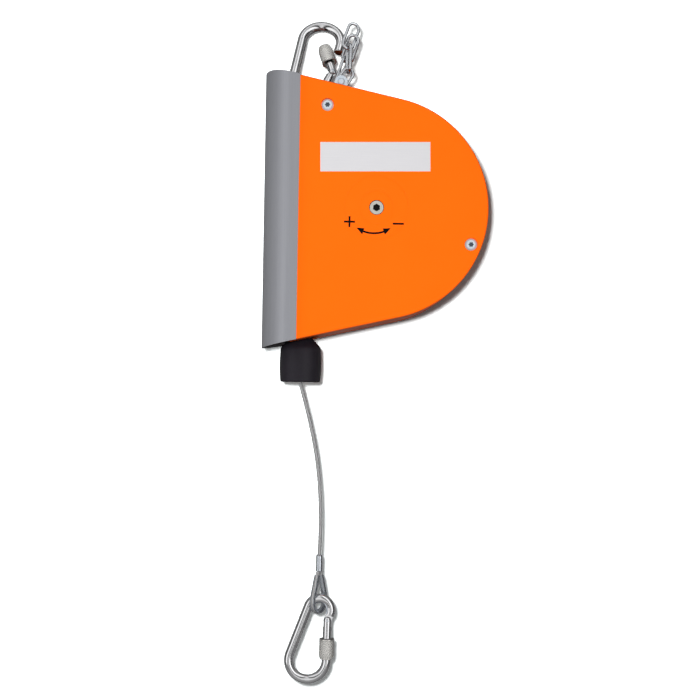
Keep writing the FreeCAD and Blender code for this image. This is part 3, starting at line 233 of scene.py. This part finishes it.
# %% Drawn aluminium
grey = Finish("satin_grey_profile", Metallic=0.25, IOR=1.5)
drawn = grey.place(scale=(3200, 3200, 9))
lines = grey.noise(drawn, 1.0, 4)
patches = grey.noise(grey.place(), 30, 4)
grey.feed(
    Base_Color=grey.blend(lines, rgb(127, 128, 133), rgb(145, 146, 151)),
    Roughness=0.38 + patches * 0.1 + lines * 0.05,
)
grey.bump(lines, 0.00002, 0.5)
print("made", grey.material.name)

# %% [markdown]
# ## Plated steel
#
# The hooks are polished and nickel plated, and the chain, screws and rope fittings are zinc plated,
# which is paler, bluer and softer. One function makes them all: only the colour, the gloss, the size
# of the mottling and how bare the metal lies differ.


# %% Nickel, zinc and steel
def plated(name, pale, dark, gloss, mottle, ripple=0.00001, bare=1.0):
    """A bright plated metal, with a mottled gloss and a very fine ripple; bare is how metallic it is."""
    metal = Finish(name, Metallic=bare)
    where = metal.place()
    spots = metal.noise(where, mottle, 5)
    fine = metal.noise(where, mottle * 9, 3)
    metal.feed(Base_Color=metal.blend(spots, dark, pale), Roughness=gloss + fine * 0.1)
    metal.bump(fine, ripple, 0.4)
    return metal.material


nickel = plated("bright_nickel", rgb(232, 232, 233), rgb(205, 205, 207), 0.1, 120)
zinc = plated("bright_zinc", rgb(226, 230, 236), rgb(196, 202, 210), 0.2, 300)
screw_zinc = plated("blue_passivated_zinc", rgb(224, 233, 240), rgb(192, 204, 216), 0.3, 400, bare=0.5)
# A darker steel for the screws' key recesses: painted shade, since little light reaches their walls.
painted_recess_shade = plated("recess_shade_steel", rgb(112, 122, 134), rgb(66, 74, 84), 0.3, 900, bare=0.8)
turned_steel = plated("turned_steel", rgb(206, 205, 198), rgb(180, 179, 172), 0.3, 400, bare=0.5)
knurled = plated("knurled_steel", rgb(240, 238, 234), rgb(214, 212, 208), 0.22, 800, bare=0.9)
chain_zinc = plated("chain_zinc", rgb(228, 230, 233), rgb(192, 195, 200), 0.16, 260)
machined = plated("machined_steel", rgb(176, 178, 182), rgb(140, 142, 146), 0.3, 500)
blued = plated("blued_spring_steel", rgb(82, 90, 110), rgb(52, 56, 66), 0.3, 200)
bronze = plated("sintered_bronze", rgb(196, 150, 88), rgb(150, 108, 58), 0.42, 900, 0.00003)
cast = plated("cast_drum_alloy", rgb(190, 191, 194), rgb(160, 161, 165), 0.42, 350, 0.00004)
print("metals ready")

# %% [markdown]
# ## Rubber, plastic and film
#
# The stop buffer is moulded rubber with a faint bloom. The rope guide is moulded plastic. The label
# is silver film, left blank, and the marks are printed in black.


# %% Soft and printed finishes
def moulded(name, dark, pale, gloss, grain, shine=0.5):
    """Rubber or plastic with a moulded grain."""
    stuff = Finish(name, IOR=1.5, Specular_IOR_Level=shine)
    where = stuff.place()
    bloom = stuff.noise(where, 90, 4)
    grit = stuff.noise(where, grain, 4)
    stuff.feed(Base_Color=stuff.blend(bloom, dark, pale), Roughness=gloss + bloom * 0.12)
    stuff.bump(grit, 0.00006, 0.5)
    return stuff.material


rubber = moulded("black_rubber", rgb(16, 14, 19), rgb(34, 31, 37), 0.5, 1600, 0.35)
plastic = moulded("black_plastic", rgb(30, 30, 32), rgb(42, 42, 45), 0.42, 2200)
ink = moulded("printed_ink", rgb(6, 4, 5), rgb(14, 10, 12), 0.6, 3000, 0.1)
# A near-black finish for the walls of key sockets: painted shade, since little light reaches them.
painted_socket_shade = moulded("socket_shade", rgb(14, 13, 13), rgb(26, 25, 25), 0.6, 2400, 0.1)

film = Finish("silver_film", Metallic=0.15, IOR=1.45)
brushed = film.noise(film.place(scale=(40, 1, 2600)), 1.0, 3)
film.feed(
    Base_Color=film.blend(brushed, rgb(196, 195, 198), rgb(209, 208, 210)),
    Roughness=0.3 + brushed * 0.1,
)
film.bump(brushed, 0.000004, 0.3)
print("rubber, plastic, ink and film ready")

# %% [markdown]
# ## Wire rope finish
#
# Each strand of the rope is itself laid from thin wires. On the rope's own UV map, v runs along it and u
# round it, so slanted stripes across both give the wires: a bump, and a colour that is darker between
# the wires, which is painted shade. The grooves between the strands are real shape.

# %% Laid wire
WIRES_AROUND = 36
WIRES_ALONG = 2400

rope_steel = Finish("laid_wire", Metallic=0.6)
around, along, _ = rope_steel.split(rope_steel.place(source="UV"))
wires = (around * WIRES_AROUND + along * WIRES_ALONG).sine() * 0.5 + 0.5
dirt = rope_steel.noise(rope_steel.place(), 700, 4)
# Darker lines between the wires are painted shade; the noise mixed in is real dirt.
wire_shade_and_dirt = (wires * 0.6 + dirt * 0.4).clamp()
rope_steel.feed(
    Base_Color=rope_steel.blend(wire_shade_and_dirt, rgb(120, 120, 121), rgb(206, 206, 207)),
    Roughness=0.34 + dirt * 0.16,
)
rope_steel.bump(wires, 0.00006, 0.7)
print("made", rope_steel.material.name)

# %% [markdown]
# ## Dress the solids
#
# A solid whose shape is already right keeps its mesh and only takes a finish. The table below names
# the finish of each one.

# %% Finishes of the solids
DRESS = {
    coat.material: ["front_cover", "rear_cover"],
    grey.material: ["edge_profile"],
    nickel: ["upper_hook", "upper_gate", "lower_hook", "lower_gate"],
    chain_zinc: [f"chain_link_{number}" for number in range(1, 6)],
    screw_zinc: ["cover_screws", "chain_screw", "chain_washer"],
    turned_steel: ["tension_shaft"],
    zinc: ["suspension_bolt", "suspension_roller", "chain_lug", "chain_bush", "chain_nut",
           "upper_gate_pin", "lower_gate_pin", "rope_ferrule", "thimble"],
    machined: ["pawl_pin", "spring_core", "ratchet_wheel", "lock_pawl", "stop_sleeve",
               "upper_lock_sleeve", "lower_lock_sleeve"],
    bronze: ["shaft_bushes", "drum_bushes", "guide_bush"],
    cast: ["rope_drum", "drum_lid"],
    blued: ["mainspring"],
    rubber: ["stop_buffer"],
    plastic: ["rope_guide"],
    film.material: ["label_plate"],
    ink: ["tension_marks"],
    rope_steel.material: ["wound_rope", "inner_rope_run", "free_rope", "rope_eye"],
}


def dress(thing, material):
    """One finish over the whole of a piece."""
    thing.data.materials.clear()
    thing.data.materials.append(material)


dressed = set()
for material, names in DRESS.items():
    for name in names:
        dress(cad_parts[name], material)
        dressed.add(name)
print("without a finish:", sorted(set(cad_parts) - dressed))

# %% [markdown]
# A key socket is darker than the face around it, because little light reaches its walls; that shade is
# painted here. The faces of a solid that lie inside the socket's radius and below the front face take a
# second, darker finish of painted shade. The two cover screws share one node, so each has its own spot.


# %% Painted shade in sockets
SOCKET_REACH = 3.0
SOCKET_DEEPER = 0.2
RECESS_REACH = 2.2
SCREW_SPOTS = (housing(-37.9, 0, 76.8), housing(71.1, 0, -26.6))


def paint_socket_shade(node, spot, reach, material):
    """Paints shade on the walls and floor of a key socket, seen from the front at spot, with a dark
    finish.
    """
    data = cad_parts[node].data
    if material.name not in data.materials:
        data.materials.append(material)
    face = min(vert.co.y for vert in data.vertices)
    for polygon in data.polygons:
        place = polygon.center
        near = math.hypot(place.x - spot.x, place.z - spot.z) < reach * MM
        if near and place.y > face + SOCKET_DEEPER * MM:
            polygon.material_index = len(data.materials) - 1


# Painted shade in the tension shaft's hex socket and in the cover screws' recesses.
paint_socket_shade("tension_shaft", shaft, SOCKET_REACH, painted_socket_shade)
for spot in SCREW_SPOTS:
    paint_socket_shade("cover_screws", spot, RECESS_REACH, painted_recess_shade)
print("sockets darkened")

# %% [markdown]
# ## Making a piece
#
# New pieces are made with bmesh, which edits a mesh in memory. Every piece ends the same way: its
# faces are turned outwards, it is shaded smooth, and it rides on the body that carries it.


# %% Finish a mesh
def made(name, mesh, material, body, crease):
    """Turns a bmesh into a piece of the object; edges sharper than the crease stay sharp."""
    bmesh.ops.recalc_face_normals(mesh, faces=mesh.faces)
    data = bpy.data.meshes.new(name)
    mesh.to_mesh(data)
    mesh.free()
    thing = bpy.data.objects.new(name, data)
    bpy.context.scene.collection.objects.link(thing)
    data.polygons.foreach_set("use_smooth", [True] * len(data.polygons))
    data.set_sharp_from_angle(angle=math.radians(crease))
    data.materials.append(material)
    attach(thing, body)
    print(name, "has", len(data.polygons), "faces")
    return thing


def lathe(section, steps):
    """Spins a closed section of (radius, height) points, in millimetres, about z."""
    mesh = bmesh.new()
    points = [mesh.verts.new((radius * MM, 0, height * MM)) for radius, height in section]
    edges = [mesh.edges.new(pair) for pair in zip(points, points[1:] + points[:1])]
    axle = {"cent": (0, 0, 0), "axis": (0, 0, 1)}
    bmesh.ops.spin(mesh, geom=points + edges, angle=math.tau, steps=steps, use_merge=True, **axle)
    bmesh.ops.remove_doubles(mesh, verts=mesh.verts, dist=1e-7)
    return mesh


# %% [markdown]
# ## The knurled lock sleeves
#
# A knurling wheel presses crossed helical grooves into the sleeve and leaves rows of small diamonds.
# The sleeve is turned first, with many fine rings on its outer wall, and then each point of that
# wall moves inwards with two crossed waves. Real diamonds catch the light from every side, which a
# painted pattern would not.

# %% Sleeve shapes
KNURL_DEPTH = 0.45
KNURL_ROWS = 18
KNURL_PITCH = 2.1
KNURL_FADE = 0.3
PLAIN_START = 0.8
PLAIN_END = 0.6
SLEEVE_STEPS = 8 * KNURL_ROWS
SLEEVE_RINGS = 64
SLEEVE = {"radius": 5.85, "length": 15.4, "bore": 3.4, "hollow": 4.8, "deep": 5.0}


def sleeve_profile(mouth, taper):
    """The sleeve's closed section, with a fine row of points up its outer wall."""
    radius, length = SLEEVE["radius"], SLEEVE["length"]
    outer = []
    for i in range(SLEEVE_RINGS + 1):
        height = length * i / SLEEVE_RINGS
        over = max(0.0, (height - length + taper) / taper)
        outer.append((radius - (radius - mouth) * over**2, height))
    inner = [(SLEEVE["bore"], length), (SLEEVE["bore"], SLEEVE["deep"])]
    return [(SLEEVE["hollow"], 0.0), *outer, *inner, (SLEEVE["hollow"], SLEEVE["deep"])]


def knurl(mesh, low, high):
    """Presses diamonds into the outer wall between two heights in millimetres."""
    for vert in mesh.verts:
        radius = math.hypot(vert.co.x, vert.co.y) / MM
        height = vert.co.z / MM
        if radius <= SLEEVE["hollow"] + KNURL_DEPTH or not low <= height <= high:
            continue
        angle = math.atan2(vert.co.y, vert.co.x) * KNURL_ROWS
        climb = math.tau * height / KNURL_PITCH
        dip = 1 - min(math.cos(angle + climb), math.cos(angle - climb))
        fade = min(1.0, (height - low) / KNURL_FADE, (high - height) / KNURL_FADE)
        shrink = 1 - KNURL_DEPTH * dip / 2 * fade / radius
        vert.co.x *= shrink
        vert.co.y *= shrink


print("sleeve has", SLEEVE_STEPS * SLEEVE_RINGS, "faces outside")

# %% [markdown]
# Each sleeve slides on its gate, so it takes its axis from the gate. A gate is a long rod, and the
# line along which its points spread the most is its axis: a vector that is multiplied again and again
# by the table of spreads turns into that line. The sleeve's own solid then says where it starts.


# %% Make the two sleeves
SPREAD_ROUNDS = 60


def spread_line(node):
    """The middle of a solid's points and the direction in which they spread the most."""
    spots = [vert.co.copy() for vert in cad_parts[node].data.vertices]
    centre = sum(spots, Vector()) / len(spots)
    table = Matrix(((0, 0, 0),) * 3)
    for spot in spots:
        arm = spot - centre
        for row in range(3):
            table[row] += arm[row] * arm
    way = Vector((0.2, 0.1, 1))
    for _ in range(SPREAD_ROUNDS):
        way = (table @ way).normalized()
    return centre, way


def sleeve(name, node, gate, towards, mouth, taper, body):
    """A knurled sleeve in place of its solid; towards says which way its mouth points, up or down."""
    centre, way = spread_line(gate)
    if way.z * towards < 0:
        way.negate()
    reach = [(vert.co - centre).dot(way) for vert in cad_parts[node].data.vertices]
    mesh = lathe(sleeve_profile(mouth, taper), SLEEVE_STEPS)
    knurl(mesh, PLAIN_START, SLEEVE["length"] - PLAIN_END)
    turn = Vector((0, 0, 1)).rotation_difference(way).to_matrix().to_4x4()
    place = Matrix.Translation(centre + way * min(reach)) @ turn
    bmesh.ops.transform(mesh, matrix=place, verts=mesh.verts)
    thing = made(name, mesh, knurled, body, 60)
    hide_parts(node)
    return thing


sleeve("knurled_upper_sleeve", "upper_lock_sleeve", "upper_gate", 1, 4.7, 6.0, "upper_sleeve")
sleeve("knurled_lower_sleeve", "lower_lock_sleeve", "lower_gate", -1, 4.9, 3.5, "lower_sleeve")

# %% [markdown]
# ## The stop buffer
#
# The buffer is one turned shape with soft edges: it swells a little at its middle, narrows in a cone
# and ends in a neck. Each corner of its section is rounded with a short curve before it is spun.


# %% Rounded sections and the buffer
def rounded(corners, steps=6):
    """A section in which each corner (radius, height, rounding) becomes a short curve."""
    out = []
    for i, (x, z, size) in enumerate(corners):
        spot = Vector((x, z))
        if not size or i in (0, len(corners) - 1):
            out.append((x, z))
            continue
        before = Vector(corners[i - 1][:2]) - spot
        after = Vector(corners[i + 1][:2]) - spot
        first = spot + before.normalized() * min(size, before.length * 0.49)
        last = spot + after.normalized() * min(size, after.length * 0.49)
        for step in range(steps + 1):
            share = step / steps
            point = first.lerp(spot, share).lerp(spot.lerp(last, share), share)
            out.append(tuple(point))
    return out


BUFFER = (
    (4.5, 0.0, 0), (15.4, 0.0, 1.6), (15.9, 6.0, 5), (16.2, 13.5, 6), (15.9, 21.0, 5), (15.5, 27.0, 2.2),
    (8.8, 34.0, 1.5), (8.8, 38.9, 0.6), (4.5, 38.9, 0),
)
buffer_mesh = lathe(rounded(BUFFER), 96)
buffer_foot = middle("stop_buffer")
buffer_foot.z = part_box("stop_buffer")[0][2]
bmesh.ops.translate(buffer_mesh, vec=buffer_foot, verts=buffer_mesh.verts)
buffer = made("moulded_buffer", buffer_mesh, rubber, "rope_end", 50)
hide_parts("stop_buffer")

# %% [markdown]
# ## The laid wire rope
#
# The free rope hangs from the buffer in a gentle bow and stays where its own stiffness leaves it. Its
# line is a NURBS curve through the same route as the solid. The rope has six strands laid round a
# core. A section with six lobes is carried along the line and turned a little at each step, which
# gives the strands their lay.

# %% The rope's line
ROUTE = (
    (-56.3, -132.0), (-52.4, -146.0), (-47.6, -164.5), (-43.4, -184.0),
    (-40.6, -204.0), (-39.0, -226.0), (-38.7, -247.0), (-39.4, -264.4),
)


def curve_line(name, points):
    """Points along a NURBS curve, as a list of vectors."""
    data = bpy.data.curves.new(name, "CURVE")
    data.dimensions = "3D"
    spline = data.splines.new("NURBS")
    spline.points.add(len(points) - 1)
    for point, place in zip(spline.points, points):
        point.co = (*place, 1)
    spline.order_u = 3
    spline.use_endpoint_u = True
    data.resolution_u = 24
    thing = bpy.data.objects.new(name, data)
    bpy.context.scene.collection.objects.link(thing)
    bpy.context.view_layer.update()
    mesh = bpy.data.meshes.new_from_object(thing)
    line = [vert.co.copy() for vert in mesh.vertices]
    bpy.data.objects.remove(thing)
    bpy.data.meshes.remove(mesh)
    return line


def resample(line, step):
    """The same line with evenly spaced points."""
    out, carry = [line[0].copy()], 0.0
    for first, second in zip(line, line[1:]):
        span = (second - first).length
        while carry + span >= step and span > 1e-12:
            share = (step - carry) / span
            first = first.lerp(second, share)
            span = (second - first).length
            out.append(first.copy())
            carry = 0.0
        carry += span
    if (out[-1] - line[-1]).length > step * 0.3:
        out.append(line[-1].copy())
    else:
        out[-1] = line[-1].copy()
    return out


rope_line = curve_line("rope_line", [housing(x, 0, z) for x, z in ROUTE])

# %% The rope's body of strands
ROPE_RADIUS = 1.5
STRANDS = 6
STRAND_POINTS = 6
GROOVE = 0.16
LAY = 19.0
ACROSS = Vector((0.3, 1, 0.2))


def strand_rope(name, line, body, phase=0.0):
    """Carries a section with six lobes along a line and twists it."""
    around = STRANDS * STRAND_POINTS
    mesh = bmesh.new()
    uv = mesh.loops.layers.uv.new("UVMap")
    rings, travelled, side = [], 0.0, ACROSS
    for i, point in enumerate(line):
        ahead = line[min(i + 1, len(line) - 1)] - line[max(i - 1, 0)]
        ahead.normalize()
        side = (side - ahead * side.dot(ahead)).normalized()
        up = ahead.cross(side)
        if i:
            travelled += (point - line[i - 1]).length / MM
        twist = math.tau * travelled / LAY + phase
        ring = bmesh.ops.create_circle(mesh, segments=around, radius=1.0)["verts"]
        for j, vert in enumerate(ring):
            angle = math.tau * j / around
            lobe = abs(math.cos(STRANDS * angle / 2)) ** 0.8
            radius = ROPE_RADIUS * (1 - GROOVE + GROOVE * lobe) * MM
            arm = side * math.cos(angle + twist) + up * math.sin(angle + twist)
            vert.co = point + arm * radius
        rings.append((ring, travelled))
    for (first, start), (second, end) in zip(rings, rings[1:]):
        for j in range(around):
            k = (j + 1) % around
            face = mesh.faces.new((first[j], first[k], second[k], second[j]))
            spots = ((j, start), (j + 1, start), (j + 1, end), (j, end))
            for loop, (turn, height) in zip(face.loops, spots):
                loop[uv].uv = (turn / around, height * MM)
    for ring, _ in (rings[0], rings[-1]):
        mesh.faces.new(ring)
    return made(name, mesh, rope_steel.material, body, 60)


STEP = 0.7 * MM
free_line = resample(rope_line, STEP)
free_rope = strand_rope("laid_free_rope", free_line, "rope_end")
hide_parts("free_rope")

# %% [markdown]
# Below the ferrule the rope goes round the thimble and comes back. Its line has two straight legs
# that touch a round bend, in a plane that is turned away from the front.

# %% The eye
EYE_RADIUS = 8.5
EYE_TOP = 22.4
EYE_GAP = 1.55
EYE_TURN = math.radians(57)
EYE_CENTRE = (-39.4, -299.9)
EYE_STEPS = 60

lean = math.atan2(EYE_TOP, EYE_GAP) - math.acos(EYE_RADIUS / math.hypot(EYE_TOP, EYE_GAP))
sweep = math.pi + 2 * lean
angles = [math.pi - lean + sweep * i / EYE_STEPS for i in range(EYE_STEPS + 1)]
bend = [(EYE_RADIUS * math.cos(angle), EYE_RADIUS * math.sin(angle)) for angle in angles]
eye_line = [
    housing(EYE_CENTRE[0] + x * math.cos(EYE_TURN), x * math.sin(EYE_TURN), EYE_CENTRE[1] + z)
    for x, z in [(-EYE_GAP, EYE_TOP), *bend, (EYE_GAP, EYE_TOP)]
]
rope_eye = strand_rope("laid_rope_eye", resample(eye_line, STEP), "rope_end", 1.0)
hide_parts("rope_eye")

# %% [markdown]

# %% [markdown]
# ## The camera
#
# The balancer is seen from the front, a little from below, at about arm's length. The lens is a
# short telephoto, and the camera is rolled by one degree, so the housing stands not quite upright.

# %% Camera
FRAME_WIDTH = 36.0
FOCAL = 65.5714
STAND = (-18.2, -988.0, -130.8)
PITCH = 1.44
ROLL = 0.9

camera_data = bpy.data.cameras.new("front_camera")
camera_data.sensor_width = FRAME_WIDTH
camera_data.lens = FOCAL
camera = bpy.data.objects.new("front_camera", camera_data)
bpy.context.scene.collection.objects.link(camera)
look = Matrix.Rotation(math.radians(90 + PITCH), 4, "X") @ Matrix.Rotation(math.radians(ROLL), 4, "Z")
camera.matrix_world = Matrix.Translation(housing(*STAND)) @ look
bpy.context.scene.camera = camera
print("camera at", [round(c, 3) for c in camera.location])

# %% [markdown]
# ## The studio
#
# A white wall stands close behind the balancer, and a pale floor lies well below it. The key lamp is
# just above and left of the camera, so each piece drops a narrow soft shadow on the wall at its lower
# right. Bright plated metal shows what is around it, so the sky that it reflects is a studio of its
# own: bright screens behind the camera and at both sides, with dark gaps between them. The wall is
# drawn only from its front, so views from behind see the balancer's back.
#
# The paper has three tones. The camera sees it lighter than any real paper, above 1, which lifts the
# backdrop to white under dim lamps. It lights the pieces with a dark tone, and metal mirrors a dark
# tone too, which gives the rods their dark edges. This is a trick for one view: real plated metal
# before white paper mirrors the white and looks paler, and a tone of 1 would show that.


# %% Wall and floor
def white_stage(name, seen, lit, mirrored):
    """White paper in three tones: as the camera sees it, as it lights pieces, as metal mirrors it."""
    paper = Finish(name)
    camera_ray = paper.node("LightPath", {}, {}, "Is Camera Ray")
    glossy_ray = paper.node("LightPath", {}, {}, "Is Glossy Ray")
    given = paper.mixed(glossy_ray, lit, mirrored)
    tones = {channel: paper.mixed(camera_ray, given, level) for channel, level in enumerate(seen)}
    colour = paper.node("CombineColor", {}, tones)
    diffuse = paper.node("BsdfDiffuse", {}, {"Color": colour})
    behind = paper.node("NewGeometry", {}, {}, "Backfacing")
    clear = paper.node("BsdfTransparent", {}, {})
    drawn = paper.node("MixShader", {}, {0: behind, 1: diffuse, 2: clear})
    paper.tree.links.new(drawn.socket, paper.tree.nodes["Material Output"].inputs[0])
    return paper.material


def stage_plane(name, centre, turn, size, material):
    """A flat square of the studio, with its half width."""
    mesh = bmesh.new()
    bmesh.ops.create_grid(mesh, x_segments=1, y_segments=1, size=size)
    data = bpy.data.meshes.new(name)
    mesh.to_mesh(data)
    mesh.free()
    plane = bpy.data.objects.new(name, data)
    plane.matrix_world = Matrix.Translation(centre) @ turn
    bpy.context.scene.collection.objects.link(plane)
    data.materials.append(material)


WALL_GAP = 0.006
WALL_SEEN = (1.46, 1.52, 1.52)
WALL_MIRRORED = 0.2
FLOOR_DROP = 0.35
FLOOR_SEEN = (4.5, 4.6, 4.6)
FLOOR_MIRRORED = 0.42
PAPER_LIT = 0.16

low, high = solid_box
wall_paper = white_stage("white_paper", WALL_SEEN, PAPER_LIT, WALL_MIRRORED)
floor_paper = white_stage("floor_paper", FLOOR_SEEN, PAPER_LIT, FLOOR_MIRRORED)
facing = Matrix.Rotation(math.radians(90), 4, "X")
stage_plane("wall", (axis.x, high[1] + WALL_GAP, axis.z - 0.1), facing, 3.0, wall_paper)
stage_plane("floor", (axis.x, axis.y, low[2] - FLOOR_DROP), Matrix(), 0.9, floor_paper)
print("stage ready")


# %% Lamps
def lamp(name, place, target, size, power):
    """A soft rectangular lamp that polished metal doesn't mirror."""
    data = bpy.data.lights.new(name, "AREA")
    data.shape = "RECTANGLE"
    data.size, data.size_y = size
    data.energy = power
    thing = bpy.data.objects.new(name, data)
    thing.location = place
    thing.rotation_euler = (target - place).to_track_quat("-Z", "Y").to_euler()
    thing.visible_glossy = False
    bpy.context.scene.collection.objects.link(thing)
    print(name, "lamp of", power, "W at", [round(c, 3) for c in place])


KEY_SHIFT = Vector((-0.055, -0.01, 0.058))
KEY_POWER = 11.4
LEFT_SHIFT = Vector((-0.9, -0.3, 0.2))
LEFT_POWER = 3.2

centre = housing(-20, 0, -80)
lamp("key", camera.location + KEY_SHIFT, centre, (0.06, 0.06), KEY_POWER)
lamp("left", centre + LEFT_SHIFT, centre, (0.3, 0.9), LEFT_POWER)

# %% The sky that the metal mirrors
world = bpy.data.worlds.new("studio")
bpy.context.scene.world = world
world.use_nodes = True
sky = Maker(world.node_tree)
across, depth, height = sky.split(sky.node("TexCoord", {}, {}, "Generated"))
azimuth = across.math("ARCTAN2", depth * -1)


def screen(start, end, edge, level):
    """A bright upright screen between two directions, in degrees right of the camera."""
    left, right, soft = (math.radians(angle) for angle in (start, end, edge))
    rise = sky.smooth(azimuth, left - soft, left + soft, 0, level)
    return rise * sky.smooth(azimuth, right + soft, right - soft)


GAP_LEVEL = 0.03
SOFT_LEVEL = 0.07

screens = GAP_LEVEL + screen(-64, -26, 6, 1.25) + screen(-10, 6, 4, 0.95) + screen(20, 54, 6, 1.6)
screens = screens + screen(100, 170, 10, 0.4) + screen(-170, -105, 10, 0.3)
fall = sky.smooth(height, 0.15, 0.5, 1, 0.75)
mirrored = screens * fall + sky.smooth(height, 0.45, 0.75, 0, 0.25)
glossy_ray = sky.node("LightPath", {}, {}, "Is Glossy Ray")
camera_ray = sky.node("LightPath", {}, {}, "Is Camera Ray")
strength = sky.mixed(camera_ray, sky.mixed(glossy_ray, SOFT_LEVEL, mirrored), 1.0)
background = sky.tree.nodes["Background"].inputs
sky.tree.links.new(strength.socket, background["Strength"])
background["Color"].default_value = (1, 1, 1, 1)
bpy.context.scene.view_settings.view_transform = "Standard"
print("lit")
